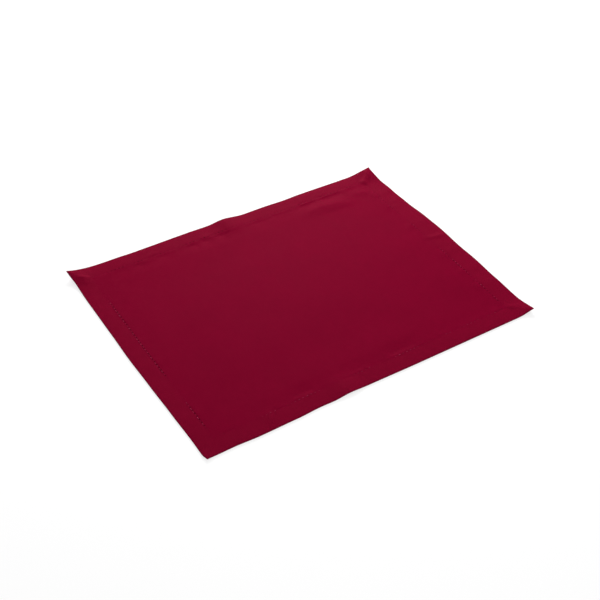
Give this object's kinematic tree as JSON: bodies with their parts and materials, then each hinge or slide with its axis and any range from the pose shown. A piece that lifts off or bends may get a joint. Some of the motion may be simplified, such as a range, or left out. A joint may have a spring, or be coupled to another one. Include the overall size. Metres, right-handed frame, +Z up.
{
  "type": "fabric placemat",
  "caption": "Rectangular hemmed fabric placemat in deep red, lying flat with slightly curled corners, for setting under a dinner plate.",
  "frame": {"origin": "on the table under the middle of the cloth", "axes": "+X along the long side, +Y towards the far long edge, +Z up"},
  "size_m": [0.4521, 0.3501, 0.0088],
  "materials": {
    "cloth": "fine plain weave, dyed deep red, matt with a faint sheen"
  },
  "bodies": {
    "root": {"placemat_cloth": "cloth"}
  },
  "joints": []
}
